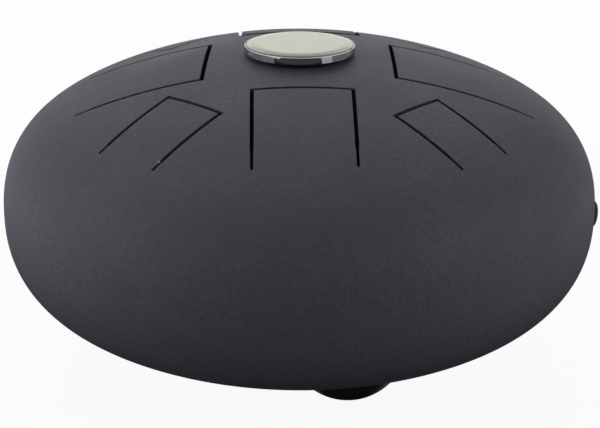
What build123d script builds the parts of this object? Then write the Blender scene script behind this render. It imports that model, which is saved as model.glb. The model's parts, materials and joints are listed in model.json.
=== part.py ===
from build123d import *
import os
from math import asin, atan2, cos, degrees, radians, sin, tan

os.makedirs("parts", exist_ok=True)

# A steel tongue drum: two pressed dishes welded rim to rim, eight tongues slotted
# into the upper one, a domed badge on the crown, three rubber feet and a bumper.
# Millimetres, +Z up. z = 0 is the plane the feet stand on, the drum's axis is Z,
# and the front of the drum faces -Y. Azimuths run from the front towards +X.

# ---------------------------------------------------------------- driving dimensions
shell_radius = 152.4            # 12 inch drum
sheet = 2.0                     # steel sheet
body_rise, body_p, body_q = 63.135, 3.9804, 2.3596
crown_rise, crown_reach = 16.048, 131.25
shell_rise = body_rise + crown_rise
floor_gap = 6.1                 # under the lowest point of the lower dish
seam_z = shell_rise + floor_gap
seam_half = 1.25                # half the width of the weld bead

slot = 1.9                      # sawn slot
fine_slot = 1.4                 # finer cut that ends each side slot
root_gap = 0.25
overcut = 0.15                  # tip cut runs past the side cuts

# azimuth, half width to slot centre, tip distance, tip slant, slot end on the low and
# high azimuth side, sideways offset, length of the fine cut, tip slot width
array_turn = 1.2
tongues = {
    "tongue_front":       (0 - 0.06, 24.6, 46.5, -0.2, 109.1, 107.3, 0.5, 12.0, 1.8),
    "tongue_front_right": (45 + 0.24, 16.0, 78.2, -0.8, 120.9, 121.7, -0.2, 6.9, 2.0),
    "tongue_right":       (90 + 0.20, 27.7, 47.5, 0.4, 116.8, 107.3, 0.2, 8.0, 2.0),
    "tongue_rear_right":  (135 + 0.0, 15.8, 79.0, 0.0, 121.0, 121.0, 0.0, 6.0, 2.0),
    "tongue_rear":        (180 + 0.67, 31.16, 47.5, 0.0, 111.0, 110.0, -1.27, 8.0, 2.0),
    "tongue_rear_left":   (225 + 0.0, 17.6, 77.0, 0.0, 120.0, 120.0, 0.0, 6.0, 2.0),
    "tongue_left":        (270 - 1.21, 28.3, 47.5, 2.0, 110.5, 112.0, 0.7, 8.0, 2.2),
    "tongue_front_left":  (315 + 0.83, 18.0, 74.1, -0.7, 120.2, 119.4, -0.4, 5.2, 2.0),
}

badge_radius = 27.95
badge_tilt = 2.8                # front edge a little high, its back edge on the crown
badge_top = 3.5                 # rim above the crown, on the axis
badge_wall = 3.5                # height of the bezel
badge_wall_t = 0.5
badge_draft = 0.35              # how much wider the bezel is at its lower edge
badge_floor = (1.2, 2.0)        # underside and top of the floor above the bezel's edge
label_t = 0.4
label_gap = 0.03
dome_rise = 1.5
pad_radius = 24.0               # foam under the bezel, set in from its edge

port_radius = 33.0              # sound port in the bottom

foot_azimuths = (("foot_front", 23.5), ("foot_rear", 143.5), ("foot_left", 263.5))
foot_r = 65.3                   # where a foot's axis meets the lower dish
foot_radius = 24.0
foot_dome = 30.8                # spherical radius of the rubber
foot_rise = 14.1                # dish to tip of the dome along the axis
plate_radius, plate_t, plate_in = 17.0, 1.6, 0.6
stud_radius, stud_in = 4.0, 13.0
stud_hole = 4.25
washer_radius, washer_hole, washer_t = 9.0, 4.2, 1.6
washer_seat = sheet + 0.2
nut_flats, nut_t, nut_hole = 13.0, 6.5, 4.05

bumper_az, bumper_drop = 90.0, 9.0
bumper_radius, bumper_rise = 7.0, 3.75


# ---------------------------------------------------------------- the pressed profile
def rise(r):
    """Height of the outer skin above the seam plane at radius r."""
    body = body_rise * max(0.0, 1 - (r / shell_radius) ** body_p) ** (1 / body_q)
    crown = crown_rise * max(0.0, 1 - (r / crown_reach) ** 2) ** 2
    return body + crown


def slope(r):
    """Angle of the outer skin from level, in degrees, at radius r."""
    step = 0.05
    return degrees(atan2(rise(r - step) - rise(r + step), 2 * step))


skin_angles = (0, 8, 16, 24, 32, 40, 48, 55, 61, 67, 72, 77, 81, 84.5, 87.3, 89)
outer_pts, inner_pts = [], []
for a in skin_angles:
    r = shell_radius * sin(radians(a))
    s = radians(slope(r)) if a else 0.0
    outer_pts.append((r, rise(r)))
    inner_pts.append((r - sheet * sin(s), rise(r) - sheet * cos(s)))
outer_pts.append((shell_radius, seam_half))
inner_pts.append((shell_radius - sheet, seam_half))
upper_outer = [(r, seam_z + h) for r, h in outer_pts]
upper_inner = [(r, seam_z + h) for r, h in inner_pts]
lower_outer = [(r, seam_z - h) for r, h in outer_pts]
lower_inner = [(r, seam_z - h) for r, h in inner_pts]


def tongue_plane(azimuth):
    """Plan of one tongue: x across the tongue, y outward, looking down on the drum."""
    a = radians(azimuth + array_turn)
    return Plane(origin=(0, 0, seam_z + 100), x_dir=(cos(a), sin(a), 0), z_dir=(0, 0, -1))


# ---------------------------------------------------------------- upper dish
with BuildPart() as upper_shell:
    with BuildSketch(Plane.XZ) as dish:
        with BuildLine() as wall:
            outside = Spline(*upper_outer, tangents=((1, 0), (0, -1)))
            Line(outside @ 1, upper_inner[-1])
            inside = Spline(*upper_inner[::-1], tangents=((0, 1), (-1, 0)))
            Line(inside @ 1, outside @ 0)
        make_face()
    revolve(axis=Axis.Z)
    for azimuth, w, tip, slant, end_1, end_2, off, fine, tip_slot in tongues.values():
        with BuildSketch(tongue_plane(azimuth)) as window:
            lean = tan(radians(slant)) * w
            r1, r2 = end_1 - fine_slot / 2, end_2 - fine_slot / 2
            # the tongue itself with its root gap
            with BuildLine():
                Polyline(
                    (off - w, tip - lean), (off + w, tip + lean),
                    (off + w, r2 + root_gap / 2), (off - w, r1 + root_gap / 2),
                    close=True,
                )
            make_face()
            # tip slot
            with Locations(Location((off, tip, 0), (0, 0, slant))):
                Rectangle(2 * (w + overcut) + slot, tip_slot)
            # side slots, each ending in a finer cut with a round end
            for x, lean_end, end in ((off - w, tip - lean, end_1), (off + w, tip + lean, end_2)):
                length = end - fine - lean_end
                with Locations((x, lean_end + length / 2)):
                    Rectangle(slot, length)
                with Locations((x, end - fine_slot / 2 - (fine + 1) / 2)):
                    Rectangle(fine_slot, fine + 1)
                with Locations((x, end - fine_slot / 2)):
                    Circle(fine_slot / 2)
        extrude(amount=90, mode=Mode.SUBTRACT)
upper_shell.part.label = "upper_shell"
export_step(upper_shell.part, "parts/upper_shell.step")

# ---------------------------------------------------------------- the eight tongues
for name, (azimuth, w, tip, slant, end_1, end_2, off, fine, tip_slot) in tongues.items():
    with BuildPart() as tongue:
        with BuildSketch(Plane.XZ) as dish:
            with BuildLine() as wall:
                outside = Spline(*upper_outer, tangents=((1, 0), (0, -1)))
                Line(outside @ 1, upper_inner[-1])
                inside = Spline(*upper_inner[::-1], tangents=((0, 1), (-1, 0)))
                Line(inside @ 1, outside @ 0)
            make_face()
        revolve(axis=Axis.Z)
        with BuildSketch(tongue_plane(azimuth)) as plan:
            t = tan(radians(slant))
            a, b = w - slot / 2, w - fine_slot / 2
            r1, r2 = end_1 - fine_slot / 2, end_2 - fine_slot / 2
            cut_1, cut_2 = end_1 - fine, end_2 - fine
            root = lambda x: r1 + (r2 - r1) * (x + w) / (2 * w) - root_gap / 2
            with BuildLine():
                Polyline(
                    (off - a, tip - t * a + tip_slot / 2), (off + a, tip + t * a + tip_slot / 2),
                    (off + a, cut_2), (off + b, cut_2), (off + b, root(b)),
                    (off - b, root(-b)), (off - b, cut_1), (off - a, cut_1),
                    close=True,
                )
            make_face()
        extrude(amount=90, mode=Mode.INTERSECT)
    tongue.part.label = name
    export_step(tongue.part, f"parts/{name}.step")

# ---------------------------------------------------------------- weld bead in the seam
with BuildPart() as seam_weld:
    with BuildSketch(Plane.XZ) as bead:
        with Locations((shell_radius - sheet / 2, seam_z)):
            Rectangle(sheet, 2 * seam_half)
    revolve(axis=Axis.Z)
seam_weld.part.label = "seam_weld"
export_step(seam_weld.part, "parts/seam_weld.step")


# ---------------------------------------------------------------- lower dish
def foot_frame(azimuth):
    """Where a foot's axis leaves the lower dish, its outward direction, and a sideways one."""
    a, s = radians(azimuth), radians(slope(foot_r))
    seat = Vector(foot_r * sin(a), -foot_r * cos(a), seam_z - rise(foot_r))
    out = Vector(sin(s) * sin(a), -sin(s) * cos(a), -cos(s))
    side = Vector(cos(a), sin(a), 0)
    return seat, out, side


with BuildPart() as lower_shell:
    with BuildSketch(Plane.XZ) as dish:
        with BuildLine() as wall:
            outside = Spline(*lower_outer, tangents=((1, 0), (0, 1)))
            Line(outside @ 1, lower_inner[-1])
            inside = Spline(*lower_inner[::-1], tangents=((0, -1), (-1, 0)))
            Line(inside @ 1, outside @ 0)
        make_face()
    revolve(axis=Axis.Z)
    with BuildSketch(Plane.XY) as port:
        Circle(port_radius)
    extrude(amount=40, mode=Mode.SUBTRACT)
    for _, azimuth in foot_azimuths:
        seat, out, side = foot_frame(azimuth)
        with BuildSketch(Plane(origin=seat + out * 5, x_dir=side, z_dir=-out)) as stud_way:
            Circle(stud_hole)
        extrude(amount=12, mode=Mode.SUBTRACT)
lower_shell.part.label = "lower_shell"
export_step(lower_shell.part, "parts/lower_shell.step")

# ---------------------------------------------------------------- badge on the crown
lean = radians(badge_tilt)
badge_axis = Vector(0, sin(lean), cos(lean))
badge_foot = Vector(0, 0, seam_z + shell_rise + badge_top) - badge_axis * badge_wall
badge_plane = Plane(origin=badge_foot, x_dir=(1, 0, 0), z_dir=(0, -cos(lean), sin(lean)))
badge_line = Axis(badge_foot, badge_axis)
well = badge_radius - badge_wall_t

with BuildPart() as badge_bezel:
    with BuildSketch(badge_plane) as section:
        with BuildLine():
            Polyline(
                (0, badge_floor[0]), (well, badge_floor[0]), (well, 0), (badge_radius + badge_draft, 0),
                (badge_radius, badge_wall), (well, badge_wall), (well, badge_floor[1]),
                (0, badge_floor[1]), close=True,
            )
        make_face()
        rim = section.vertices().filter_by(lambda v: v.Y > badge_wall - 0.01)
        fillet(rim, radius=0.2)
        edge = section.vertices().filter_by(lambda v: v.X > badge_radius - 0.01).sort_by(Axis.Y)[0]
        fillet(edge, radius=0.25)
    revolve(axis=badge_line)
badge_bezel.part.label = "badge_bezel"
export_step(badge_bezel.part, "parts/badge_bezel.step")

with BuildPart() as badge_label:
    with BuildSketch(badge_plane) as section:
        with Locations(((well - 0.1) / 2, badge_floor[1] + label_gap + label_t / 2)):
            Rectangle(well - 0.1, label_t)
    revolve(axis=badge_line)
badge_label.part.label = "badge_label"
export_step(badge_label.part, "parts/badge_label.step")

with BuildPart() as badge_dome:
    with BuildSketch(badge_plane) as section:
        low = badge_floor[1] + label_t + 2 * label_gap
        edge = badge_wall - 0.5
        with BuildLine():
            Line((0, low), (well - 0.15, low))
            Line((well - 0.15, low), (well - 0.15, edge))
            ThreePointArc((well - 0.15, edge), (well - 1.9, edge + 0.97), (well - 4.55, edge + dome_rise - 0.12))
            Polyline((well - 4.55, edge + dome_rise - 0.12), (12, edge + dome_rise - 0.03), (5, edge + dome_rise),
                     (0, edge + dome_rise), (0, low))
        make_face()
    revolve(axis=badge_line)
badge_dome.part.label = "badge_dome"
export_step(badge_dome.part, "parts/badge_dome.step")

with BuildPart() as badge_pad:
    with BuildSketch(Plane(origin=badge_foot + badge_axis * badge_floor[0], x_dir=(1, 0, 0), z_dir=-badge_axis)):
        Circle(pad_radius)
    extrude(amount=8)
    with BuildSketch(Plane.XZ) as crown:
        with BuildLine():
            top = Spline(*upper_outer, tangents=((1, 0), (0, -1)))
            Polyline(top @ 1, (0, seam_z + seam_half), top @ 0)
        make_face()
    revolve(axis=Axis.Z, mode=Mode.SUBTRACT)
badge_pad.part.label = "badge_pad"
export_step(badge_pad.part, "parts/badge_pad.step")

# ---------------------------------------------------------------- feet
studs, washers, nuts = [], [], []
for name, azimuth in foot_azimuths:
    seat, out, side = foot_frame(azimuth)
    section_plane = Plane(origin=seat, x_dir=out.cross(side), z_dir=side)
    foot_axis = Axis(seat, out)

    # steel plate with a stud, moulded into the rubber
    with BuildPart() as stud:
        with BuildSketch(section_plane):
            with BuildLine():
                Polyline(
                    (0, plate_in + plate_t), (plate_radius, plate_in + plate_t),
                    (plate_radius, plate_in), (stud_radius, plate_in),
                    (stud_radius, 0.8 - stud_in), (stud_radius - 0.8, -stud_in), (0, -stud_in),
                    close=True,
                )
            make_face()
        revolve(axis=foot_axis)
    studs.append(stud.part)

    with BuildPart() as washer:
        with BuildSketch(Plane(origin=seat - out * washer_seat, x_dir=side, z_dir=-out)):
            Circle(washer_radius)
            Circle(washer_hole, mode=Mode.SUBTRACT)
        extrude(amount=washer_t)
    washers.append(washer.part)

    with BuildPart() as nut:
        with BuildSketch(Plane(origin=seat - out * (washer_seat + washer_t), x_dir=side, z_dir=-out)):
            RegularPolygon(nut_flats / 2, 6, major_radius=False)
            Circle(nut_hole, mode=Mode.SUBTRACT)
        extrude(amount=nut_t)
    nuts.append(nut.part)

    # domed rubber, drawn down onto the dish, with the patch it rests on
    with BuildPart() as foot:
        centre = foot_rise - foot_dome
        shoulder = centre + (foot_dome ** 2 - foot_radius ** 2) ** 0.5
        half = asin(foot_radius / foot_dome) / 2
        with BuildSketch(section_plane):
            with BuildLine():
                Line((0, foot_rise), (0, -1.6))
                Line((0, -1.6), (foot_radius, -1.6))
                Line((foot_radius, -1.6), (foot_radius, shoulder))
                ThreePointArc(
                    (foot_radius, shoulder),
                    (foot_dome * sin(half), centre + foot_dome * cos(half)),
                    (0, foot_rise),
                )
            make_face()
        revolve(axis=foot_axis)
        with BuildSketch(Plane.XZ) as belly:
            with BuildLine():
                skin = Spline(*lower_outer, tangents=((1, 0), (0, 1)))
                Polyline(skin @ 1, (0, seam_z - seam_half), skin @ 0)
            make_face()
        revolve(axis=Axis.Z, mode=Mode.SUBTRACT)
        with BuildSketch(section_plane):
            with BuildLine():
                Polyline(
                    (0, plate_in + plate_t), (plate_radius, plate_in + plate_t),
                    (plate_radius, plate_in), (stud_radius, plate_in),
                    (stud_radius, -3), (0, -3), close=True,
                )
            make_face()
        revolve(axis=foot_axis, mode=Mode.SUBTRACT)
        with BuildSketch(Plane.XY):
            Circle(200)
        extrude(amount=-20, mode=Mode.SUBTRACT)
    foot.part.label = name
    export_step(foot.part, f"parts/{name}.step")

for name, pieces in (("foot_studs", studs), ("foot_washers", washers), ("foot_nuts", nuts)):
    group = Compound(label=name, children=pieces)
    export_step(group, f"parts/{name}.step")

# ---------------------------------------------------------------- bumper on the side
with BuildPart() as side_bumper:
    a = radians(bumper_az)
    low, high = 0.6 * shell_radius, shell_radius
    for _ in range(60):
        mid = (low + high) / 2
        low, high = (mid, high) if rise(mid) > bumper_drop else (low, mid)
    bumper_r = (low + high) / 2
    s = radians(slope(bumper_r))
    seat = Vector(bumper_r * sin(a), -bumper_r * cos(a), seam_z - bumper_drop)
    out = Vector(sin(s) * sin(a), -sin(s) * cos(a), -cos(s))
    side = Vector(cos(a), sin(a), 0)
    with BuildSketch(Plane(origin=seat, x_dir=out.cross(side), z_dir=side)):
        with BuildLine():
            Line((0, bumper_rise), (0, -1.5))
            Line((0, -1.5), (bumper_radius, -1.5))
            Line((bumper_radius, -1.5), (bumper_radius, bumper_rise - 2.2))
            Spline((bumper_radius, bumper_rise - 2.2), (bumper_radius - 1.1, bumper_rise - 0.62), (0, bumper_rise),
                   tangents=((0, 1), (-1, 0)))
        make_face()
    revolve(axis=Axis(seat, out))
    with BuildSketch(Plane.XZ) as belly:
        with BuildLine():
            skin = Spline(*lower_outer, tangents=((1, 0), (0, 1)))
            Polyline(skin @ 1, (0, seam_z - seam_half), skin @ 0)
        make_face()
    revolve(axis=Axis.Z, mode=Mode.SUBTRACT)
side_bumper.part.label = "side_bumper"
export_step(side_bumper.part, "parts/side_bumper.step")
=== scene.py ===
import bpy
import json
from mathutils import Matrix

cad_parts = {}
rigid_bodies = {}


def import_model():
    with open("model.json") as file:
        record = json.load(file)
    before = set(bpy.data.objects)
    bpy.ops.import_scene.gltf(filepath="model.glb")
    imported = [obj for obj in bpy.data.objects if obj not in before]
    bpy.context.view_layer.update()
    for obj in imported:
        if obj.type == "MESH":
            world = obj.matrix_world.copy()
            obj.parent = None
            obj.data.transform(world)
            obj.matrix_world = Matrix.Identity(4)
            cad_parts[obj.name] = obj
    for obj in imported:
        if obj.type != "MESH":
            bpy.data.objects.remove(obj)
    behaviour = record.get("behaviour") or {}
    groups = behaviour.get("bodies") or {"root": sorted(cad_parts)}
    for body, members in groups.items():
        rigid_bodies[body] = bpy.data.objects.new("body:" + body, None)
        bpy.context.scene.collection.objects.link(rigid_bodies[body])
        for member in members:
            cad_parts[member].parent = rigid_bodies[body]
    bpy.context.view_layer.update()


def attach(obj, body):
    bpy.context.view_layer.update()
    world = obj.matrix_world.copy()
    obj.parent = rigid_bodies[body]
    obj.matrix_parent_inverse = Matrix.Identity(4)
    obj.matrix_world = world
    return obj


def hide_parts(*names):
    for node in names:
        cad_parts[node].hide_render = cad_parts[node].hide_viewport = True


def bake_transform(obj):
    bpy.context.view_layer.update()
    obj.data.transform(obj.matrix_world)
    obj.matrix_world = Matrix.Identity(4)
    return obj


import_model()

import bpy, json, math
import numpy as np
from mathutils import Matrix, Vector
from mathutils.geometry import delaunay_2d_cdt

# ------------------------------------------------------------------ dimensions, in mm
# The frame is the part's own: z = 0 is the plane of the feet, +Z is up, the front
# faces -Y. Lengths are in millimetres here and become metres when a mesh is made.
R, SHEET = 152.4, 2.0
BODY, P, Q = 63.135, 3.9804, 2.3596
CROWN, REACH = 16.048, 131.25
GAP = 6.1
SEAM = BODY + CROWN + GAP
WELD = 1.25
SLOT, FINE, OVERCUT, TURN = 1.9, 1.4, 0.15, 1.2
EDGE = 0.22                       # rounding of a coated slot edge
BAND = 127.0                      # the plan mesh ends here and the rolled band begins
AROUND = 400
TONGUES = {
    "tongue_front":       (-0.06, 24.6, 46.5, -0.2, 109.1, 107.3, 0.5, 12.0, 1.8),
    "tongue_front_right": (45.24, 16.0, 78.2, -0.8, 120.9, 121.7, -0.2, 6.9, 2.0),
    "tongue_right":       (90.20, 27.7, 47.5, 0.4, 116.8, 107.3, 0.2, 8.0, 2.0),
    "tongue_rear_right":  (135.0, 15.8, 79.0, 0.0, 121.0, 121.0, 0.0, 6.0, 2.0),
    "tongue_rear":        (180.67, 31.16, 47.5, 0.0, 111.0, 110.0, -1.27, 8.0, 2.0),
    "tongue_rear_left":   (225.0, 17.6, 77.0, 0.0, 120.0, 120.0, 0.0, 6.0, 2.0),
    "tongue_left":        (268.79, 28.3, 47.5, 2.0, 110.5, 112.0, 0.7, 8.0, 2.2),
    "tongue_front_left":  (315.83, 18.0, 74.1, -0.7, 120.2, 119.4, -0.4, 5.2, 2.0),
}
LIFT = {"tongue_rear": 0.35}      # a tip that stands a little proud
FEET = (("foot_front", 23.5), ("foot_rear", 143.5), ("foot_left", 263.5))
FOOT_R, FOOT_RADIUS, FOOT_DOME, FOOT_RISE = 65.3, 24.0, 30.8, 14.1
PORT, STUD_HOLE = 33.0, 4.4


# ------------------------------------------------------------------ the pressed profile
def rise(r):
    r = np.asarray(r, float)
    body = BODY * np.maximum(0.0, 1 - (r / R) ** P) ** (1 / Q)
    return body + CROWN * np.maximum(0.0, 1 - (r / REACH) ** 2) ** 2


def drise(r):
    r = np.minimum(np.asarray(r, float), R * (1 - 1e-9))
    x = r / R
    body = -BODY * P / (Q * R) * x ** (P - 1) * np.maximum(1e-12, 1 - x ** P) ** (1 / Q - 1)
    y = r / REACH
    return body - 4 * CROWN / REACH * y * np.maximum(0.0, 1 - y * y)


_t = np.sin(np.linspace(0, math.pi / 2, 4000))
_r = R * _t
_g = drise(_r)
_n = np.sqrt(1 + _g * _g)
IN_R, IN_Z = _r + SHEET * _g / _n, rise(_r) - SHEET / _n
IN_G = _g
_keep = np.concatenate([[True], np.diff(np.maximum.accumulate(IN_R)) > 1e-9])
IN_R, IN_Z, IN_G = IN_R[_keep], IN_Z[_keep], IN_G[_keep]


def inner(r):
    return np.interp(r, IN_R, IN_Z)


def skin_normal(x, y, inside=False):
    """Unit normals of the upper dish, outward, or into the hollow for the inner skin."""
    r = np.hypot(x, y)
    g = np.interp(r, IN_R, IN_G) if inside else drise(r)
    k = np.sqrt(1 + g * g)
    c, s = np.divide(x, r, out=np.zeros_like(r), where=r > 1e-9), np.divide(y, r, out=np.zeros_like(r), where=r > 1e-9)
    n = np.stack([-g * c / k, -g * s / k, 1 / k], 1)
    return -n if inside else n


# ------------------------------------------------------------------ mesh building
class Skin:
    """Vertices, faces and corner normals of one closed piece."""

    def __init__(self):
        self.v, self.f, self.n, self.index, self.edge, self.deep = [], [], [], {}, [], []

    def vert(self, key, p, edge=0.0, deep=0.0):
        i = self.index.get(key)
        if i is None:
            i = self.index[key] = len(self.v)
            self.v.append((p[0], p[1], p[2]))
            self.edge.append(edge)
            self.deep.append(deep)
        return i

    def face(self, ids, normals, flip=False):
        if flip:
            ids, normals = ids[::-1], normals[::-1]
        self.f.append(tuple(ids))
        self.n.extend(tuple(n) for n in normals)

    def make(self, name, material):
        """Turns every face to the side its corner normals give, and makes the mesh."""
        at, v = 0, np.array(self.v)
        for i, f in enumerate(self.f):
            p, n = v[list(f)], self.n[at:at + len(f)]
            q = np.roll(p, -1, 0)
            face_n = np.array([((p[:, 1] - q[:, 1]) * (p[:, 2] + q[:, 2])).sum(), ((p[:, 2] - q[:, 2]) * (p[:, 0] + q[:, 0])).sum(), ((p[:, 0] - q[:, 0]) * (p[:, 1] + q[:, 1])).sum()])
            if face_n @ np.sum(n, 0) < 0:
                self.f[i], self.n[at:at + len(f)] = f[::-1], n[::-1]
            at += len(f)
        me = bpy.data.meshes.new(name)
        me.from_pydata([(x * 0.001, y * 0.001, z * 0.001) for x, y, z in self.v], [], self.f)
        me.polygons.foreach_set("use_smooth", [True] * len(me.polygons))
        for label, values in (("edge", self.edge), ("deep", self.deep)):
            me.attributes.new(label, "FLOAT", "POINT").data.foreach_set("value", np.array(values, np.float32))
        me.update()
        me.normals_split_custom_set([Vector(n).normalized() for n in self.n])
        me.validate(clean_customdata=False)
        ob = bpy.data.objects.new(name, me)
        bpy.context.scene.collection.objects.link(ob)
        me.materials.append(material)
        return ob


def resample(points, step):
    out = []
    n = len(points)
    for i in range(n):
        a, b = np.array(points[i]), np.array(points[(i + 1) % n])
        k = max(1, int(math.ceil(np.linalg.norm(b - a) / step)))
        out += [tuple(a + (b - a) * j / k) for j in range(k)]
    return out


def signed_area(p):
    x, y = p[:, 0], p[:, 1]
    return 0.5 * float(np.sum(x * np.roll(y, -1) - y * np.roll(x, -1)))


def outward(p):
    """Mitred directions out of a closed outline, so p + d * out lies d away from it."""
    d = np.roll(p, -1, 0) - p
    d /= np.linalg.norm(d, axis=1)[:, None]
    nrm = np.stack([d[:, 1], -d[:, 0]], 1)
    if signed_area(p) < 0:
        nrm = -nrm
    prev = np.roll(nrm, 1, 0)
    return (nrm + prev) / (1 + np.sum(nrm * prev, 1))[:, None]


def inside(px, py, poly):
    """Even-odd test of many points in one outline."""
    c = np.zeros(len(px), bool)
    x0, y0 = poly[:, 0], poly[:, 1]
    x1, y1 = np.roll(x0, -1), np.roll(y0, -1)
    for a, b, e, f in zip(x0, y0, x1, y1):
        if b == f:
            continue
        hit = ((b > py) != (f > py)) & (px < (e - a) * (py - b) / (f - b) + a)
        c ^= hit
    return c


def tongue_axes(az):
    a = math.radians(az + TURN)
    return np.array([math.cos(a), math.sin(a)]), np.array([math.sin(a), -math.cos(a)])


def slot_outline(spec):
    """The U-shaped slot round one tongue in plan, with the places of the two root ends."""
    az, w, tip, slant, e1, e2, off, fine, ts = spec
    t = math.tan(math.radians(slant))
    h, fh, c = SLOT / 2, FINE / 2, ts / 2
    r1, r2 = e1 - fh, e2 - fh
    root = lambda x: r1 + (r2 - r1) * (x + w) / (2 * w)
    a, b, o = w - h, w - fh, w + h
    far = o + OVERCUT
    inner_side = [(-b, root(-b)), (-b, e1 - fine), (-a, e1 - fine), (-a, tip - t * a + c),
                  (a, tip + t * a + c), (a, e2 - fine), (b, e2 - fine), (b, root(b))]
    arc_2 = [(w - fh * math.cos(k * math.pi / 10), r2 + fh * math.sin(k * math.pi / 10)) for k in range(1, 11)]
    arc_1 = [(-w + fh * math.cos(k * math.pi / 10), r1 + fh * math.sin(k * math.pi / 10)) for k in range(10, 0, -1)]
    outer_side = arc_2 + [(w + fh, e2 - fine), (o, e2 - fine), (o, tip + t * o + c), (far, tip + t * far + c),
                          (far, tip + t * far - c), (-far, tip - t * far - c), (-far, tip - t * far + c),
                          (-o, tip - t * o + c), (-o, e1 - fine), (-w - fh, e1 - fine)] + arc_1
    line = [np.array(q) for q in inner_side + outer_side]
    pts = resample(line, 1.6)
    u, v = tongue_axes(az)
    plan = np.array([(off + x) * u + y * v for x, y in pts])
    root_a = (off - b) * u + root(-b) * v
    root_b = (off + b) * u + root(b) * v
    ia = int(np.argmin(np.linalg.norm(plan - root_a, axis=1)))
    ib = int(np.argmin(np.linalg.norm(plan - root_b, axis=1)))
    return plan, ia, ib


def circle(cx, cy, r, n, start=0.0):
    k = np.arange(n) * 2 * math.pi / n + start
    return np.stack([cx + r * np.cos(k), cy + r * np.sin(k)], 1)


THETA = [0.0, math.radians(30), math.radians(60)]      # steps of the rounded edge


def plan_mesh(holes, roots, spacing, edge):
    """Triangles of a dish in plan, with an outline ring round each hole and lines across the roots."""
    pts, segs, hole_ids, root_ids = [], [], [], []
    outs = [outward(h) for h in holes]
    for h, o in zip(holes, outs):
        start = len(pts)
        ring = h + o * edge
        pts += [tuple(q) for q in ring]
        n = len(ring)
        segs += [(start + i, start + (i + 1) % n) for i in range(n)]
        hole_ids.append(list(range(start, start + n)))
    for k, ia, ib in roots:
        a, b = np.array(pts[hole_ids[k][ia]]), np.array(pts[hole_ids[k][ib]])
        n = max(2, int(np.linalg.norm(b - a) / 1.8))
        ids = [hole_ids[k][ia]]
        for j in range(1, n):
            ids.append(len(pts))
            pts.append(tuple(a + (b - a) * j / n))
        ids.append(hole_ids[k][ib])
        segs += list(zip(ids[:-1], ids[1:]))
        root_ids.append(ids)
    rim = circle(0, 0, BAND, AROUND)
    start = len(pts)
    pts += [tuple(q) for q in rim]
    segs += [(start + i, start + (i + 1) % AROUND) for i in range(AROUND)]
    rim_ids = list(range(start, start + AROUND))
    # an even field of points between the outlines
    fixed = np.array(pts)
    step = spacing * math.sqrt(3) / 2
    rows = int(BAND / step) + 1
    field = []
    for i in range(-rows, rows + 1):
        xs = np.arange(-int(BAND / spacing) - 1, int(BAND / spacing) + 2) * spacing + (spacing / 2 if i % 2 else 0)
        field += [(x + 0.0137, i * step + 0.0071) for x in xs]
    field = np.array(field)
    field = field[np.hypot(field[:, 0], field[:, 1]) < BAND - 0.6 * spacing]
    near = np.empty(len(field))
    for i in range(0, len(field), 2000):
        d = field[i:i + 2000, None, :] - fixed[None, :, :]
        near[i:i + 2000] = np.sqrt((d * d).sum(2).min(1))
    ok = near > 0.58 * spacing
    for h in holes:
        ok &= ~inside(field[:, 0], field[:, 1], h)
    pts += [tuple(q) for q in field[ok]]
    out = delaunay_2d_cdt([Vector(q) for q in pts], segs, [], 0, 1e-7)
    verts, faces, orig = out[0], out[2], out[3]
    back = [o[0] if o else -1 for o in orig]
    tri = np.array([[back[i] for i in f] for f in faces])
    pts = np.array(pts)
    c = pts[tri].mean(1)
    area = np.cross(pts[tri[:, 1]] - pts[tri[:, 0]], pts[tri[:, 2]] - pts[tri[:, 0]])
    tri[area < 0] = tri[area < 0][:, ::-1]
    live = np.hypot(c[:, 0], c[:, 1]) < BAND
    for h, ids in zip(holes, hole_ids):
        live &= ~inside(c[:, 0], c[:, 1], pts[ids])
    owner = np.full(len(tri), -1)
    for j, ((k, ia, ib), ids) in enumerate(zip(roots, root_ids)):
        loop = hole_ids[k][ia:ib + 1] + ids[::-1][1:-1]
        owner[inside(c[:, 0], c[:, 1], pts[loop])] = j
    return pts, tri[live], owner[live], hole_ids, outs, root_ids, rim_ids


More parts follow.
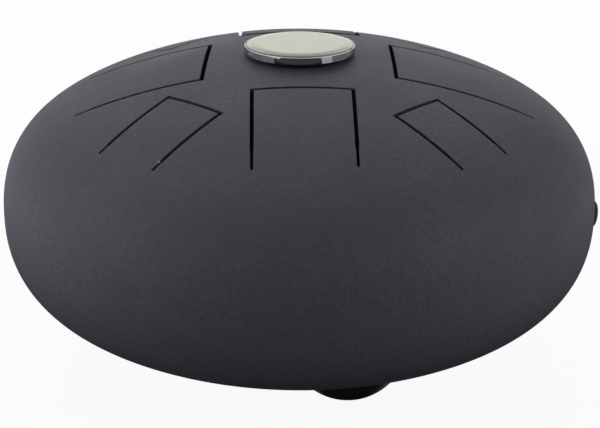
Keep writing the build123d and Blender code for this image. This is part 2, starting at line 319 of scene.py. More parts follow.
def dish_pieces(holes, roots, spacing, edge, up, lifts):
    """Closed skins for the dish and for each tongue cut into it. up is 1 for the upper dish, -1 for the lower."""
    pts, tri, owner, hole_ids, outs, root_ids, rim_ids = plan_mesh(holes, roots, spacing, edge)
    r = np.hypot(pts[:, 0], pts[:, 1])
    top, under = SEAM + up * rise(r), SEAM + up * inner(r)
    n_out, n_in = skin_normal(pts[:, 0], pts[:, 1]), skin_normal(pts[:, 0], pts[:, 1], True)
    n_out[:, 2] *= up
    n_in[:, 2] *= up
    flip = up < 0
    skins = [Skin() for _ in range(len(roots) + 1)]          # the last is the dish itself

    def lift(j, x, y):
        if j < 0 or lifts[j] is None:
            return 0.0
        (ox, oy), (dx, dy), reach, amount = lifts[j]
        s = min(1.0, max(0.0, ((x - ox) * dx + (y - oy) * dy) / reach))
        return amount * s * s * (3 - 2 * s)

    def o_vert(j, i):
        return skins[j].vert(("o", i), (pts[i, 0], pts[i, 1], top[i] + up * lift(j, *pts[i])))

    def i_vert(j, i):
        return skins[j].vert(("i", i), (pts[i, 0], pts[i, 1], under[i] + up * lift(j, *pts[i])))

    for f, j in zip(tri, owner):
        skins[j].face([o_vert(j, i) for i in f], [n_out[i] for i in f], flip)
        skins[j].face([i_vert(j, i) for i in f[::-1]], [n_in[i] for i in f[::-1]], flip)

    for k, (h, o, ids) in enumerate(zip(holes, outs, hole_ids)):
        n = len(h)
        owned = [-1] * n                                     # who owns the strip from point i to i + 1
        for j, (kk, ia, ib) in enumerate(roots):
            if kk == k:
                for i in range(ia, ib):
                    owned[i] = j
        unit = o / np.linalg.norm(o, axis=1)[:, None]
        clockwise = signed_area(h) < 0
        hr = np.hypot(h[:, 0], h[:, 1])

        def ring(j, step, i):
            d = edge * (1 - math.cos(THETA[step]))
            drop = edge * (1 - math.sin(THETA[step]))
            p = h[i] + o[i] * d
            z = SEAM + up * (float(rise(np.hypot(*p))) - drop + lift(j, *p))
            # the top of the slot wall gets part of the painted slot shade
            return skins[j].vert(("b", k, step, i), (p[0], p[1], z), 1.0 if step else 0.5, 0.0 if step else 0.6)

        def ring_n(step, i):
            s, c = math.sin(THETA[step]), math.cos(THETA[step])
            m = n_out[ids[i]] * s
            return (m[0] - unit[i, 0] * c, m[1] - unit[i, 1] * c, m[2])

        def low(j, i):
            z = SEAM + up * (float(inner(hr[i])) + lift(j, *h[i]))
            # the foot of the slot wall gets the full painted slot shade
            return skins[j].vert(("w", k, i), (h[i, 0], h[i, 1], z), 0.0, 1.0)

        for i in range(n):
            a, b = i, (i + 1) % n
            j = owned[i]
            turn = flip != clockwise
            chain_a = [ring(j, s, a) for s in range(3)] + [o_vert(j, ids[a])]
            chain_b = [ring(j, s, b) for s in range(3)] + [o_vert(j, ids[b])]
            norm_a = [ring_n(s, a) for s in range(3)] + [n_out[ids[a]]]
            norm_b = [ring_n(s, b) for s in range(3)] + [n_out[ids[b]]]
            for s in range(3):
                skins[j].face([chain_a[s], chain_a[s + 1], chain_b[s + 1], chain_b[s]],
                              [norm_a[s], norm_a[s + 1], norm_b[s + 1], norm_b[s]], not turn)
            side_a, side_b = (-unit[a, 0], -unit[a, 1], 0), (-unit[b, 0], -unit[b, 1], 0)
            skins[j].face([low(j, a), chain_a[0], chain_b[0], low(j, b)], [side_a, side_a, side_b, side_b], not turn)
            ia_, ib_ = i_vert(j, ids[a]), i_vert(j, ids[b])
            skins[j].face([ia_, low(j, a), low(j, b), ib_], [n_in[ids[a]], n_in[ids[a]], n_in[ids[b]], n_in[ids[b]]], not turn)

        # both sides of the joint at the root of a tongue
        for jj, (kk, ia, ib) in enumerate(roots):
            if kk != k:
                continue
            rid = root_ids[jj]
            run = np.array(pts[rid[-1]]) - np.array(pts[rid[0]])
            away = np.array([run[1], -run[0]]) / np.linalg.norm(run)
            mid = (np.array(pts[rid[0]]) + np.array(pts[rid[-1]])) / 2
            if away @ mid < 0:
                away = -away                                 # points outward, from the tongue into the dish
            for j, sign in ((jj, 1), (-1, -1)):
                fn = (away[0] * sign, away[1] * sign, 0.0)
                ends = []
                for i in (ia, ib):
                    ends.append([low(j, i)] + [ring(j, s, i) for s in range(3)] + [o_vert(j, ids[i]), i_vert(j, ids[i])])
                # the tongue lies toward the crown, so seen from outside its end wall runs one way and the dish's the other
                cross = run[0] * away[1] - run[1] * away[0]
                rev = (cross > 0) == (sign > 0)
                skins[j].face(ends[0], [fn] * 6, not rev)
                skins[j].face(ends[1], [fn] * 6, rev)
                for p, q in zip(rid[:-1], rid[1:]):
                    skins[j].face([o_vert(j, p), o_vert(j, q), i_vert(j, q), i_vert(j, p)], [fn] * 4, not rev)

    # rolled band from the plan mesh down to the weld
    dish = skins[-1]
    t = np.arcsin(np.linspace(0, 1, 3))
    fine_t = np.linspace(math.asin(BAND / R), math.pi / 2, 3000)
    pr, pz = R * np.sin(fine_t), rise(R * np.sin(fine_t))
    stop = np.searchsorted(-pz, -WELD)
    pr, pz = np.append(pr[:stop], R), np.append(pz[:stop], WELD)
    arc = np.concatenate([[0], np.cumsum(np.hypot(np.diff(pr), np.diff(pz)))])
    rows = 28
    at = np.linspace(0, arc[-1], rows + 1)
    out_r, out_z = np.interp(at, arc, pr), np.interp(at, arc, pz)
    m = (IN_R >= BAND - 1e-6) & (IN_Z > WELD)
    ir, iz = np.concatenate([[BAND], IN_R[m], [R - SHEET]]), np.concatenate([[float(inner(BAND))], IN_Z[m], [WELD]])
    arc_i = np.concatenate([[0], np.cumsum(np.hypot(np.diff(ir), np.diff(iz)))])
    at = np.linspace(0, arc_i[-1], rows + 1)
    in_r, in_z = np.interp(at, arc_i, ir), np.interp(at, arc_i, iz)
    cs = np.stack([np.cos(np.arange(AROUND) * 2 * math.pi / AROUND), np.sin(np.arange(AROUND) * 2 * math.pi / AROUND)], 1)
    og = drise(np.minimum(out_r, R - 1e-4))
    ok = np.sqrt(1 + og * og)
    on = np.stack([-og / ok, 1 / ok], 1)
    on[-1] = (1, 0)
    ig = np.interp(in_r, IN_R, IN_G)
    ik = np.sqrt(1 + ig * ig)
    inn = np.stack([ig / ik, -1 / ik], 1)
    inn[-1] = (-1, 0)

    def band_o(k, i):
        if k == 0:
            return o_vert(-1, rim_ids[i])
        return dish.vert(("bo", k, i), (out_r[k] * cs[i, 0], out_r[k] * cs[i, 1], SEAM + up * out_z[k]))

    def band_i(k, i):
        if k == 0:
            return i_vert(-1, rim_ids[i])
        return dish.vert(("bi", k, i), (in_r[k] * cs[i, 0], in_r[k] * cs[i, 1], SEAM + up * in_z[k]))

    spin = lambda m, i: (m[0] * cs[i, 0], m[0] * cs[i, 1], m[1] * up)
    for k in range(rows):
        for i in range(AROUND):
            q = (i + 1) % AROUND
            dish.face([band_o(k, i), band_o(k + 1, i), band_o(k + 1, q), band_o(k, q)],
                      [spin(on[k], i), spin(on[k + 1], i), spin(on[k + 1], q), spin(on[k], q)], flip)
            dish.face([band_i(k, q), band_i(k + 1, q), band_i(k + 1, i), band_i(k, i)],
                      [spin(inn[k], q), spin(inn[k + 1], q), spin(inn[k + 1], i), spin(inn[k], i)], flip)
    for i in range(AROUND):
        q = (i + 1) % AROUND
        down = (0, 0, -up)
        dish.face([band_o(rows, i), band_i(rows, i), band_i(rows, q), band_o(rows, q)], [down] * 4, flip)
    return skins


def lathe(name, material, profile, segments, origin, axis, side, smooth_angle=35.0, closed=False):
    """Turns a profile of (radius, height) about an axis. A profile that starts or ends on the axis closes there."""
    axis = Vector(axis).normalized()
    side = (Vector(side) - axis * axis.dot(Vector(side))).normalized()
    third = axis.cross(side)
    verts, faces, rows = [], [], []
    for r, h in profile:
        if r < 1e-6:
            rows.append([len(verts)])
            verts.append(Vector(origin) + axis * h)
        else:
            rows.append(list(range(len(verts), len(verts) + segments)))
            for k in range(segments):
                a = 2 * math.pi * k / segments
                verts.append(Vector(origin) + axis * h + (side * math.cos(a) + third * math.sin(a)) * r)
    pairs = list(zip(rows[:-1], rows[1:])) + ([(rows[-1], rows[0])] if closed else [])
    for a, b in pairs:
        for k in range(segments):
            q = (k + 1) % segments
            if len(a) == 1 and len(b) == 1:
                continue
            if len(a) == 1:
                faces.append((a[0], b[q], b[k]))
            elif len(b) == 1:
                faces.append((a[k], a[q], b[0]))
            else:
                faces.append((a[k], a[q], b[q], b[k]))
    me = bpy.data.meshes.new(name)
    me.from_pydata([v * 0.001 for v in verts], [], faces)
    me.update()
    import bmesh
    bm = bmesh.new()
    bm.from_mesh(me)
    bmesh.ops.recalc_face_normals(bm, faces=bm.faces)
    for f in bm.faces:
        f.smooth = True
    for e in bm.edges:
        if len(e.link_faces) == 2 and e.calc_face_angle(0) > math.radians(smooth_angle):
            e.smooth = False
    bm.to_mesh(me)
    bm.free()
    ob = bpy.data.objects.new(name, me)
    bpy.context.scene.collection.objects.link(ob)
    me.materials.append(material)
    return ob


def fillet_arc(cx, cy, r, a0, a1, n=5):
    return [(cx + r * math.cos(math.radians(a0 + (a1 - a0) * k / n)), cy + r * math.sin(math.radians(a0 + (a1 - a0) * k / n))) for k in range(n + 1)]


# ------------------------------------------------------------------ materials
def material(name):
    m = bpy.data.materials.new(name)
    m.use_nodes = True
    t = m.node_tree
    return m, t, t.nodes["Principled BSDF"]


def node(t, kind, **values):
    n = t.nodes.new(kind)
    for k, v in values.items():
        if k.startswith("_"):
            setattr(n, k[1:], v)
        else:
            n.inputs[k.replace("__", " ")].default_value = v
    return n


def ramp(t, source, stops):
    n = t.nodes.new("ShaderNodeValToRGB")
    e = n.color_ramp.elements
    while len(e) < len(stops):
        e.new(0.5)
    for x, (pos, col) in zip(e, stops):
        x.position = pos
        x.color = (*col, 1) if len(col) == 3 else col
    t.links.new(source, n.inputs["Fac"])
    return n.outputs["Color"]


def spread(t, source, low, high, lo=0.0, hi=1.0):
    n = t.nodes.new("ShaderNodeMapRange")
    n.inputs["From Min"].default_value, n.inputs["From Max"].default_value = lo, hi
    n.inputs["To Min"].default_value, n.inputs["To Max"].default_value = low, high
    t.links.new(source, n.inputs["Value"])
    return n.outputs["Result"]


def noise(t, coord, scale, detail=2.0, rough=0.5):
    n = node(t, "ShaderNodeTexNoise", Scale=scale, Detail=detail, Roughness=rough)
    t.links.new(coord, n.inputs["Vector"])
    return n.outputs["Fac"]


def mix_colour(t, fac, a, b, mode="MIX"):
    n = t.nodes.new("ShaderNodeMix")
    n.data_type = "RGBA"
    n.blend_type = mode
    for sock, val in ((n.inputs[0], fac), (n.inputs[6], a), (n.inputs[7], b)):
        if isinstance(val, (int, float)):
            sock.default_value = val
        elif isinstance(val, tuple):
            sock.default_value = (*val, 1)
        else:
            t.links.new(val, sock)
    return n.outputs[2]


def add(t, a, b, op="ADD"):
    n = t.nodes.new("ShaderNodeMath")
    n.operation = op
    for sock, val in zip(n.inputs, (a, b)):
        if isinstance(val, (int, float)):
            sock.default_value = val
        else:
            t.links.new(val, sock)
    return n.outputs[0]


def bump(t, height, strength, distance, after=None):
    n = node(t, "ShaderNodeBump", Strength=strength, Distance=distance)
    t.links.new(height, n.inputs["Height"])
    if after is not None:
        t.links.new(after, n.inputs["Normal"])
    return n.outputs["Normal"]


def object_coord(t):
    return t.nodes.new("ShaderNodeTexCoord").outputs["Object"]


COAT = (0.098, 0.101, 0.130)
# centre of the chipped spot on one slot's edge, which also carries a painted glint
CHIP_AND_GLINT = (-0.06535, -0.09475, 0.001 * (SEAM + float(rise(math.hypot(65.35, 94.75)))))


def tone(k):
    return tuple(k * c for c in COAT)


def powder_coat():
    m, t, b = material("powder_coat_charcoal")
    co = object_coord(t)
    grain = noise(t, co, 1100.0, 2.0, 0.6)           # the fine orange-peel of the coat
    fleck = noise(t, co, 430.0, 3.0, 0.65)           # coarser texture, a millimetre or two
    cloud = noise(t, co, 26.0, 3.0, 0.5)             # slightly uneven build and handling
    base = ramp(t, grain, [(0.25, tone(0.80)), (0.5, tone(1.0)), (0.78, tone(1.25))])
    base = mix_colour(t, spread(t, fleck, 0.0, 0.6, 0.45, 0.75), base, tone(1.40))
    base = mix_colour(t, spread(t, fleck, 0.5, 0.0, 0.26, 0.48), base, tone(0.66))
    base = mix_colour(t, spread(t, cloud, 0.0, 0.35, 0.35, 0.75), base, tone(0.86))
    worn = t.nodes.new("ShaderNodeAttribute")
    worn.attribute_name = "edge"
    patch = noise(t, co, 180.0, 3.0, 0.6)
    mask = add(t, spread(t, worn.outputs["Fac"], 0.0, 1.0, 0.6, 1.0), spread(t, patch, 0.0, 0.5, 0.45, 0.8), "MULTIPLY")
    base = mix_colour(t, mask, base, (0.17, 0.17, 0.19))
    # painted shade: the slot walls are darkened towards their foot, where shade falls in the slot
    deep = t.nodes.new("ShaderNodeAttribute")
    deep.attribute_name = "deep"
    base = mix_colour(t, spread(t, deep.outputs["Fac"], 0.0, 0.9, 0.2, 1.0), base, (0.012, 0.012, 0.014))
    chip_and_glint = node(t, "ShaderNodeVectorMath")           # bare steel where one slot's edge is chipped, painted bright as a painted highlight of the glint off it
    chip_and_glint.operation = "DISTANCE"
    chip_and_glint.inputs[1].default_value = CHIP_AND_GLINT
    t.links.new(co, chip_and_glint.inputs[0])
    base = mix_colour(t, spread(t, chip_and_glint.outputs["Value"], 1.0, 0.0, 0.0004, 0.0010), base, (0.70, 0.70, 0.71))
    t.links.new(base, b.inputs["Base Color"])
    t.links.new(spread(t, add(t, grain, cloud), 0.54, 0.70, 0.6, 1.4), b.inputs["Roughness"])
    b.inputs["Specular IOR Level"].default_value = 0.5
    height = add(t, grain, add(t, fleck, 1.6, "MULTIPLY"))
    t.links.new(bump(t, height, 0.7, 0.0003), b.inputs["Normal"])
    return m


def chrome():
    m, t, b = material("chrome_plate")
    co = object_coord(t)
    fine = noise(t, co, 2600.0, 2.0, 0.5)
    cloud = noise(t, co, 140.0, 3.0, 0.55)
    t.links.new(ramp(t, cloud, [(0.3, (0.47, 0.48, 0.51)), (0.7, (0.55, 0.56, 0.59))]), b.inputs["Base Color"])
    b.inputs["Metallic"].default_value = 1.0
    t.links.new(spread(t, add(t, cloud, add(t, fine, 0.4, "MULTIPLY")), 0.03, 0.09, 0.4, 1.0), b.inputs["Roughness"])
    t.links.new(bump(t, fine, 0.05, 0.00002), b.inputs["Normal"])
    return m


def badge_face():
    m, t, b = material("badge_resin_cream")
    co = object_coord(t)
    cloud = noise(t, co, 60.0, 3.0, 0.5)
    fibre = noise(t, co, 1500.0, 2.0, 0.6)
    base = ramp(t, cloud, [(0.3, (0.875, 0.89, 0.695)), (0.7, (0.925, 0.94, 0.745))])
    base = mix_colour(t, spread(t, fibre, 0.0, 0.25, 0.35, 0.75), base, (0.825, 0.838, 0.645))
    margin = t.nodes.new("ShaderNodeAttribute")
    margin.attribute_name = "margin"                 # painted shade: the label greys towards its front edge, where the resin's front shoulder is in shade
    base = mix_colour(t, spread(t, margin.outputs["Fac"], 0.0, 0.82), base, (0.25, 0.253, 0.23))
    border = t.nodes.new("ShaderNodeAttribute")
    border.attribute_name = "border"                 # painted shadow: a dark line along the label's edge next to the rim, widest at the front and missing at the back
    base = mix_colour(t, spread(t, border.outputs["Fac"], 0.0, 0.95), base, (0.05, 0.05, 0.052))
    t.links.new(base, b.inputs["Base Color"])
    t.links.new(spread(t, cloud, 0.08, 0.16, 0.3, 0.7), b.inputs["Roughness"])
    b.inputs["Specular IOR Level"].default_value = 0.5
    t.links.new(bump(t, cloud, 0.03, 0.0002), b.inputs["Normal"])
    return m


def rubber(name="rubber_black", tone=0.02, rough=0.6):
    m, t, b = material(name)
    co = object_coord(t)
    grain = noise(t, co, 1500.0, 3.0, 0.6)
    cloud = noise(t, co, 120.0, 3.0, 0.5)
    base = ramp(t, grain, [(0.3, (tone * 0.75,) * 3), (0.72, (tone * 1.35, tone * 1.35, tone * 1.42))])
    base = mix_colour(t, spread(t, cloud, 0.0, 0.4, 0.5, 0.8), base, (tone * 1.9, tone * 1.85, tone * 1.8))
    t.links.new(base, b.inputs["Base Color"])
    t.links.new(spread(t, cloud, rough - 0.09, rough + 0.09, 0.3, 0.7), b.inputs["Roughness"])
    t.links.new(bump(t, grain, 0.25, 0.00008), b.inputs["Normal"])
    return m


def foam():
    m, t, b = material("foam_black")
    co = object_coord(t)
    cell = node(t, "ShaderNodeTexVoronoi", Scale=1700.0)
    t.links.new(co, cell.inputs["Vector"])
    d = cell.outputs["Distance"]
    t.links.new(ramp(t, d, [(0.1, (0.007, 0.007, 0.008)), (0.6, (0.022, 0.022, 0.024))]), b.inputs["Base Color"])
    t.links.new(spread(t, d, 0.8, 0.95), b.inputs["Roughness"])
    t.links.new(bump(t, d, 0.6, 0.0002), b.inputs["Normal"])
    return m


def zinc():
    m, t, b = material("zinc_plate")
    co = object_coord(t)
    brush = node(t, "ShaderNodeMapping")
    brush.inputs["Scale"].default_value = (1.0, 1.0, 14.0)
    t.links.new(co, brush.inputs["Vector"])
    line = noise(t, brush.outputs["Vector"], 420.0, 3.0, 0.6)
    cloud = noise(t, co, 160.0, 3.0, 0.55)
    base = ramp(t, cloud, [(0.3, (0.46, 0.47, 0.48)), (0.7, (0.62, 0.63, 0.62))])
    t.links.new(base, b.inputs["Base Color"])
    b.inputs["Metallic"].default_value = 1.0
    t.links.new(spread(t, add(t, line, cloud), 0.24, 0.46, 0.6, 1.4), b.inputs["Roughness"])
    t.links.new(bump(t, line, 0.12, 0.00004), b.inputs["Normal"])
    return m


COATED, CHROME, FACE, FOAM, RUBBER, ZINC = powder_coat(), chrome(), badge_face(), foam(), rubber(), zinc()

# ------------------------------------------------------------------ upper dish and tongues
names = list(TONGUES)
holes, roots, lifts = [], [], []
for k, name in enumerate(names):
    plan, ia, ib = slot_outline(TONGUES[name])
    holes.append(plan)
    roots.append((k, ia, ib))
    u, v = tongue_axes(TONGUES[name][0])
    if name in LIFT:
        lifts.append((tuple(v * 100.0), tuple(-v), 52.0, LIFT[name]))
    else:
        lifts.append(None)
spacing = 2.7
skins = dish_pieces(holes, roots, spacing, EDGE, 1, lifts)
upper = skins[-1].make("shell_upper", COATED)
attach(upper, "drum")
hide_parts("upper_shell")
for k, name in enumerate(names):
    az, w, tip, slant, e1, e2, off, fine, ts = TONGUES[name]
    piece = skins[k].make(name + "_skin", COATED)
    u, v = tongue_axes(az)
    pa, pb = (off - w) * u + (e1 - FINE / 2) * v, (off + w) * u + (e2 - FINE / 2) * v
    run = (pb - pa) / np.linalg.norm(pb - pa)
    away = np.array([-run[1], run[0]])
    mid = (pa + pb) / 2
    if away @ mid > 0:
        away = -away
    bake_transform(piece)
    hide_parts(name)

# ------------------------------------------------------------------ lower dish
holes = [circle(0, 0, PORT, 132)]
for _, az in FEET:
    a = math.radians(az)
    holes.append(circle(FOOT_R * math.sin(a), -FOOT_R * math.cos(a), STUD_HOLE, 30))
lower = dish_pieces(holes, [], 3.4, 0.6, -1, [])[-1].make("shell_lower", COATED)
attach(lower, "drum")
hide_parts("lower_shell")

# ------------------------------------------------------------------ weld in the seam, ground flush
weld = [(R - 0.005, -WELD), (R + 0.0, -0.6), (R + 0.0, 0.0), (R + 0.0, 0.6), (R - 0.005, WELD), (R - SHEET, WELD), (R - SHEET - 0.35, 0.5), (R - SHEET - 0.35, -0.5), (R - SHEET, -WELD)]
bead = lathe("seam_bead", COATED, weld, AROUND, (0, 0, SEAM), (0, 0, 1), (1, 0, 0), 50.0, True)
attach(bead, "drum")
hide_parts("seam_weld")

# ------------------------------------------------------------------ badge
TILT = math.radians(2.8)
AX = Vector((0, math.sin(TILT), math.cos(TILT)))
BASE = Vector((0, 0, SEAM + BODY + CROWN + 3.5)) - AX * 3.5
BR, BW = 27.95, 3.5
WELL = BR - 0.5
bezel_profile = [(0.0, 1.2), (WELL, 1.2), (WELL, 0.0)]
DRAFT = 0.35
bezel_profile += fillet_arc(BR + DRAFT - 0.25, 0.25, 0.25, -90, 5.7, 6)
bezel_profile += fillet_arc(BR - 0.1, BW - 0.216, 0.1, 5.7, 72, 5)
bezel_profile += fillet_arc(WELL + 0.06, BW - 0.06, 0.06, 72, 180, 4)
bezel_profile += [(WELL, 2.0), (0.0, 2.0)]
bezel = lathe("badge_ring", CHROME, bezel_profile, 192, BASE, AX, (1, 0, 0), 50.0)
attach(bezel, "drum")
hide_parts("badge_bezel")

edge_h, low = BW - 0.12, 2.0 + 0.4 + 0.06
face_profile = [(0.0, 2.03), (WELL - 0.1, 2.03), (WELL - 0.1, 2.43), (WELL - 0.15, low), (WELL - 0.15, edge_h)]
for k in range(1, 37):                                       # rounded shoulder of the resin
    q = k / 36
    face_profile.append((WELL - 0.15 - 6.0 * q, edge_h + 1.04 * (1 - (1 - q) ** 2.6)))
for k in range(1, 15):
    rr = (WELL - 6.15) * (1 - k / 14)
    face_profile.append((rr, edge_h + 1.12 - 0.08 * (rr / (WELL - 6.15)) ** 2))
face_profile[-1] = (0.0, edge_h + 1.12)
face = lathe("badge_face", FACE, face_profile, 160, BASE, AX, (1, 0, 0), 60.0)
at = [Vector(v.co) * 1000 - BASE for v in face.data.vertices]
flat = [p - AX * p.dot(AX) for p in at]
border, margin = [], []
for v in flat:
    far = (v - Vector((0, 1.2, 0))).length                   # the painted shadow line is centred a little towards the back, so it is widest at the front
    border.append(min(1.0, max(0.0, (far - WELL + 0.6) / 0.35)))
    # painted shade, greying the label's front part and none of its back
    q = min(1.0, max(0.0, (v.length - WELL + 7.3) / 4.4))
    margin.append(q * q * (3 - 2 * q) * max(0.0, -v.y / max(v.length, 1.0)) ** 1.2)
face.data.attributes.new("border", "FLOAT", "POINT").data.foreach_set("value", border)
face.data.attributes.new("margin", "FLOAT", "POINT").data.foreach_set("value", margin)
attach(face, "drum")
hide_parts("badge_dome", "badge_label")


def drum_top(p):
    return SEAM + float(rise(math.hypot(p[0], p[1])))


def pad_piece():
    """Foam disc from the bezel's floor down to the crown, soft at its rim."""
    rad, segs = 24.0, 120
    side = Vector((1, 0, 0))
    third = AX.cross(side)
    top = BASE + AX * 1.15
    verts, faces, rows = [], [], []
    plan = [(0.0, 0), (rad * 0.5, 0), (rad - 0.25, 0), (rad, -0.35)]
    for r, dz in plan:
        ids = []
        for k in range(1 if r == 0 else segs):
            a = 2 * math.pi * k / segs
            ids.append(len(verts))
            verts.append(top + AX * dz + (side * math.cos(a) + third * math.sin(a)) * r)
        rows.append(ids)
    for r in (rad, rad * 0.5, 0.0):
        ids = []
        for k in range(1 if r == 0 else segs):
            a = 2 * math.pi * k / segs
            q = top + (side * math.cos(a) + third * math.sin(a)) * r
            ids.append(len(verts))
            verts.append(Vector((q.x, q.y, min(drum_top(q) + 0.02, q.z - 0.5))))
        rows.append(ids)
    for a, b in zip(rows[:-1], rows[1:]):
        for k in range(segs):
            q = (k + 1) % segs
            if len(a) == 1:
                faces.append((a[0], b[k], b[q]))
            elif len(b) == 1:
                faces.append((a[q], a[k], b[0]))
            else:
                faces.append((a[k], b[k], b[q], a[q]))
    me = bpy.data.meshes.new("badge_foam")
    me.from_pydata([v * 0.001 for v in verts], [], faces)
    me.polygons.foreach_set("use_smooth", [True] * len(me.polygons))
    me.update()
    me.set_sharp_from_angle(angle=math.radians(50))
    ob = bpy.data.objects.new("badge_foam", me)
    bpy.context.scene.collection.objects.link(ob)
    me.materials.append(FOAM)
    return ob


pad = pad_piece()
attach(pad, "drum")
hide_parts("badge_pad")


# ------------------------------------------------------------------ feet
def foot_piece(name, az):
    """Moulded rubber dome drawn down onto the dish, with the flat that it stands on."""
    a, g = math.radians(az), float(drise(FOOT_R))
    s = math.atan(-g)
    seat = Vector((FOOT_R * math.sin(a), -FOOT_R * math.cos(a), SEAM - float(rise(FOOT_R))))
    out = Vector((math.sin(s) * math.sin(a), -math.sin(s) * math.cos(a), -math.cos(s)))
    side = Vector((math.cos(a), math.sin(a), 0))
    third = out.cross(side)
    centre = FOOT_RISE - FOOT_DOME
    segs = 128
    shoulder = math.asin(FOOT_RADIUS / FOOT_DOME)
    verts, rows = [], []

    def row(points):
        ids = list(range(len(verts), len(verts) + len(points)))
        verts.extend(points)
        rows.append(ids)

    def spoke(k, r, h):
        b = 2 * math.pi * k / segs
        return seat + (side * math.cos(b) + third * math.sin(b)) * r + out * h

    def onto_dish(k, r):
        lo_h, hi_h = -12.0, 12.0
        for _ in range(40):
            h = (lo_h + hi_h) / 2
            q = spoke(k, r, h)
            if q.z < SEAM - float(rise(math.hypot(q.x, q.y))):
                hi_h = h
            else:
                lo_h = h
        return spoke(k, r, hi_h + 0.02)

    row([spoke(0, 0, FOOT_RISE)])
    for i in range(1, 33):
        b = shoulder * i / 32
        row([spoke(k, FOOT_DOME * math.sin(b), centre + FOOT_DOME * math.cos(b)) for k in range(segs)])
    rim = rows[-1]
    seats = [onto_dish(k, FOOT_RADIUS) for k in range(segs)]
    for part in (0.5, 0.9):
        row([verts[rim[k]].lerp(seats[k], part) for k in range(segs)])
    row([onto_dish(k, FOOT_RADIUS - 0.25) for k in range(segs)])
    for r in (18.0, 10.0, 4.6):
        row([onto_dish(k, r) for k in range(segs)])
    row([spoke(k, 4.3, 1.0) for k in range(segs)])
    row([spoke(0, 0, 1.0)])
    for v in verts:
        v.z = max(v.z, 0.0)
    faces = []
    for a_, b_ in zip(rows[:-1], rows[1:]):
        for k in range(segs):
            q = (k + 1) % segs
            if len(a_) == 1:
                faces.append((a_[0], b_[k], b_[q]))
            elif len(b_) == 1:
                faces.append((a_[k], b_[0], a_[q]))
            else:
                faces.append((a_[k], b_[k], b_[q], a_[q]))
    me = bpy.data.meshes.new(name + "_rubber")
    me.from_pydata([v * 0.001 for v in verts], [], faces)
    me.update()
    import bmesh
    bm = bmesh.new()
    bm.from_mesh(me)
    bmesh.ops.recalc_face_normals(bm, faces=bm.faces)
    for f in bm.faces:
        f.smooth = True
    for e in bm.edges:
        if len(e.link_faces) == 2 and e.calc_face_angle(0) > math.radians(55):
            e.smooth = False
    bm.to_mesh(me)
    bm.free()
    ob = bpy.data.objects.new(name + "_rubber", me)
    bpy.context.scene.collection.objects.link(ob)
    me.materials.append(RUBBER)
    return ob


for name, az in FEET:
    foot = foot_piece(name, az)
    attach(foot, "drum")
    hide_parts(name)


# ------------------------------------------------------------------ side bumper
def bumper_piece():
    """Small stick-on rubber dome on the right of the drum, just under the seam."""
    drop, rad, up, segs = 9.0, 7.0, 3.75, 72
    lo_r, hi_r = 100.0, R
    for _ in range(60):
        r = (lo_r + hi_r) / 2
        if float(rise(r)) > drop:
            lo_r = r
        else:
            hi_r = r
    s = math.atan(-float(drise(r)))
    out = Vector((math.sin(s), 0, -math.cos(s)))
    seat = Vector((r, 0, SEAM - drop))
    side = Vector((0, 1, 0))
    third = out.cross(side)
    verts, rows = [], []

    def spoke(k, q, h):
        b = 2 * math.pi * k / segs
        return seat + (side * math.cos(b) + third * math.sin(b)) * q + out * h

    def onto(k, q):
        lo_h, hi_h = -2.0, 2.0
        for _ in range(40):
            h = (lo_h + hi_h) / 2
            p = spoke(k, q, h)
            rr = math.hypot(p.x, p.y)
            inside_skin = rr < R and abs(p.z - SEAM) < float(rise(rr))
            if inside_skin:
                lo_h = h
            else:
                hi_h = h
        return spoke(k, q, hi_h + 0.02)

    def row(points):
        rows.append(list(range(len(verts), len(verts) + len(points))))
        verts.extend(points)

    row([spoke(0, 0, up)])
    for i in range(1, 15):
        b = math.radians(90) * i / 14
        row([spoke(k, rad * math.sin(b) ** 0.9, 0.9 + (up - 0.9) * math.cos(b) ** 0.8) for k in range(segs)])
    row([onto(k, rad) for k in range(segs)])
    row([onto(k, rad * 0.5) for k in range(segs)])
    row([onto(0, 0.0)])
    faces = []
    for a_, b_ in zip(rows[:-1], rows[1:]):
        for k in range(segs):
            q = (k + 1) % segs
            if len(a_) == 1:
                faces.append((a_[0], b_[k], b_[q]))
            elif len(b_) == 1:
                faces.append((a_[k], b_[0], a_[q]))
            else:
                faces.append((a_[k], b_[k], b_[q], a_[q]))
    me = bpy.data.meshes.new("side_bumper_rubber")
    me.from_pydata([v * 0.001 for v in verts], [], faces)
    me.update()
    import bmesh
    bm = bmesh.new()
    bm.from_mesh(me)
    bmesh.ops.recalc_face_normals(bm, faces=bm.faces)
    for f in bm.faces:
        f.smooth = True
    for e in bm.edges:
        if len(e.link_faces) == 2 and e.calc_face_angle(0) > math.radians(55):
            e.smooth = False
    bm.to_mesh(me)
    bm.free()
    ob = bpy.data.objects.new("side_bumper_rubber", me)
    bpy.context.scene.collection.objects.link(ob)
    me.materials.append(RUBBER)
    return ob


bumper = bumper_piece()
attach(bumper, "drum")
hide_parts("side_bumper")

# ------------------------------------------------------------------ hardware inside
for ob in bpy.context.scene.objects:
    if ob.type == "MESH" and ob.name.split(".")[0] in ("foot_studs", "foot_washers", "foot_nuts"):
        ob.data.materials.clear()
        ob.data.materials.append(ZINC)

# ------------------------------------------------------------------ floor, light, camera
def plane(name, half, z):
    me = bpy.data.meshes.new(name)
    me.from_pydata([(-half, -half, z), (half, -half, z), (half, half, z), (-half, half, z)], [], [(0, 1, 2, 3)])
    ob = bpy.data.objects.new(name, me)
    bpy.context.scene.collection.objects.link(ob)
    return ob


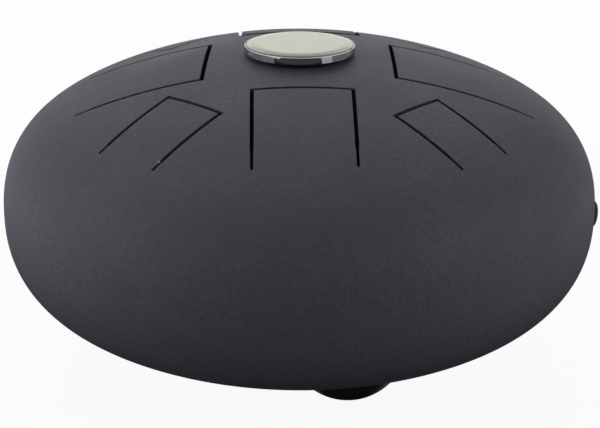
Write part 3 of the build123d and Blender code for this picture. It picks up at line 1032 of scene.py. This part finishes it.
# The pale floor that is seen, lit like a light table, and a plain one under it that gives
# the soft bounce on the belly of the drum.
floor = plane("floor", 6.0, 0.0)
fm, ft, fb = material("floor_pale")
fb.inputs["Base Color"].default_value = (0.08, 0.08, 0.08, 1)
fb.inputs["Roughness"].default_value = 0.9
fb.inputs["Specular IOR Level"].default_value = 0.0
fb.inputs["Emission Color"].default_value = (1, 1, 1, 1)
reach = ft.nodes.new("ShaderNodeVectorMath")               # painted shadow: the floor's glow is dimmed under the middle of the drum, where no light gets in
reach.operation = "LENGTH"
ft.links.new(object_coord(ft), reach.inputs[0])
ft.links.new(spread(ft, reach.outputs["Value"], 0.05, 0.935, 0.044, 0.054), fb.inputs["Emission Strength"])
see = ft.nodes.new("ShaderNodeMixShader")
clear = ft.nodes.new("ShaderNodeBsdfTransparent")
side_of = ft.nodes.new("ShaderNodeNewGeometry")
ft.links.new(side_of.outputs["Backfacing"], see.inputs["Fac"])
ft.links.new(fb.outputs["BSDF"], see.inputs[1])
ft.links.new(clear.outputs["BSDF"], see.inputs[2])
ft.links.new(see.outputs["Shader"], ft.nodes["Material Output"].inputs["Surface"])
floor.data.materials.append(fm)
floor.visible_diffuse = floor.visible_glossy = floor.visible_shadow = floor.visible_transmission = False
under = plane("floor_bounce", 6.0, -0.001)
um, ut, ub = material("floor_bounce_pale")
ub.inputs["Base Color"].default_value = (0.44, 0.44, 0.44, 1)
ub.inputs["Roughness"].default_value = 0.9
ub.inputs["Specular IOR Level"].default_value = 0.0
under.data.materials.append(um)
under.visible_camera = under.visible_glossy = False

# A plain pale backdrop past the edge of the floor and below it. It puts no light on the drum.
wall = bpy.data.meshes.new("backdrop")
wall.from_pydata([(x, y, z) for x in (-7.0, 7.0) for y in (-7.0, 7.0) for z in (-7.0, 7.0)], [],
                 [(0, 1, 3, 2), (4, 6, 7, 5), (0, 4, 5, 1), (2, 3, 7, 6), (0, 2, 6, 4), (1, 5, 7, 3)])
backdrop = bpy.data.objects.new("backdrop", wall)
bpy.context.scene.collection.objects.link(backdrop)
wm, wt, wb = material("backdrop_pale")
wb.inputs["Base Color"].default_value = (0.08, 0.08, 0.08, 1)
wb.inputs["Roughness"].default_value = 0.9
wb.inputs["Specular IOR Level"].default_value = 0.0
wb.inputs["Emission Color"].default_value = (1, 1, 1, 1)
wb.inputs["Emission Strength"].default_value = 0.95
wall.materials.append(wm)
backdrop.visible_diffuse = backdrop.visible_glossy = backdrop.visible_shadow = backdrop.visible_transmission = False

world = bpy.data.worlds.new("studio")
bpy.context.scene.world = world
world.use_nodes = True
bg = world.node_tree.nodes["Background"]
bg.inputs["Color"].default_value = (1, 1, 1, 1)
bg.inputs["Strength"].default_value = 0.01


def area(name, where, aim, size, power):
    d = bpy.data.lights.new(name, "AREA")
    d.shape, d.size, d.size_y, d.energy = "RECTANGLE", size[0], size[1], power
    o = bpy.data.objects.new(name, d)
    o.location = where
    o.rotation_mode = "QUATERNION"
    o.rotation_quaternion = (Vector(aim) - Vector(where)).to_track_quat("-Z", "Y")
    bpy.context.scene.collection.objects.link(o)
    return o


AIM = (0, 0, 0.08)
LIGHTS = {
    "softbox_back_top": ((0, 1.4, 1.3), AIM, (2.4, 1.2), 10.07),
    "softbox_back_high": ((0, 0.9, 1.6), AIM, (2.0, 1.0), 0.6),
    "softbox_back": ((0, 1.9, 0.55), AIM, (1.3, 0.5), 2.05),
    "softbox_back_low": ((0, 1.2, 0.1), (0, 0, 0.1), (2.4, 0.2), 2.4),
    "softbox_left": ((-1.6, 0, 0.72), AIM, (1.6, 1.0), 7.12),
    "softbox_left_top": ((-1.0, 0.3, 1.4), AIM, (1.2, 1.2), 3.26),
    "softbox_left_front": ((-1.35, -0.9, 0.62), AIM, (1.0, 0.8), 2.13),
    "card_left": ((-0.635, -0.0725, 0.11), (0.3586, 0.041, 0.11), (0.784, 0.22), 0.085),
    "card_left_front": ((-0.665, -0.296, 0.11), (0.249, 0.112, 0.11), (0.363, 0.22), 0.012),
    "card_left_back": ((-0.607, 0.5765, 0.11), (0.119, -0.1115, 0.11), (0.66, 0.22), 0.085),
    "card_left_floor": ((-0.5, 0, 0.003), (-0.5, 0, 1), (0.4, 1.0), 1),
    "softbox_right": ((1.6, 0, 0.72), AIM, (1.6, 1.0), 3.74),
    "softbox_right_front": ((1.35, -0.9, 0.62), AIM, (1.0, 0.8), 0.58),
    "card_right": ((0.607, -0.1065, 0.11), (-0.379, 0.061, 0.11), (0.86, 0.22), 0.105),
    "card_right_front": ((0.613, -0.4055, 0.11), (-0.226, 0.137, 0.11), (0.297, 0.22), 0.066),
    "card_right_back": ((0.607, 0.5765, 0.11), (-0.119, -0.1115, 0.11), (0.66, 0.22), 0.09),
    "card_right_floor": ((0.5, 0, 0.003), (0.5, 0, 1), (0.4, 1.0), 0.61),
    "softbox_front_right": ((1.0, -1.0, 1.3), AIM, (1.0, 1.0), 4.75),
    "card_under": ((0, 0, 0.004), (0, 0, 1), (0.14, 0.14), 0.031),
    "softbox_front_low": ((0, -2.0, 0.15), (0, 0, 0.15), (4.6, 0.5), 0.40),
}
for name, (where, aim, size, power) in LIGHTS.items():
    area(name, where, aim, size, power)

cam = bpy.data.objects.new("camera", bpy.data.cameras.new("camera"))
bpy.context.scene.collection.objects.link(cam)
cam.matrix_world = Matrix.Translation((0, -0.954799, 0.457282)) @ Matrix.Rotation(math.radians(68.71364), 4, "X") @ Matrix.Rotation(math.radians(0.18245), 4, "Z")
cam.data.sensor_fit = "HORIZONTAL"
cam.data.sensor_width = 36.0
cam.data.lens = 117.979
cam.data.shift_x, cam.data.shift_y = 0.001166, -0.02885
cam.data.clip_start, cam.data.clip_end = 0.01, 50.0
bpy.context.scene.camera = cam
bpy.context.scene.view_settings.view_transform = "Standard"

bpy.context.view_layer.update()
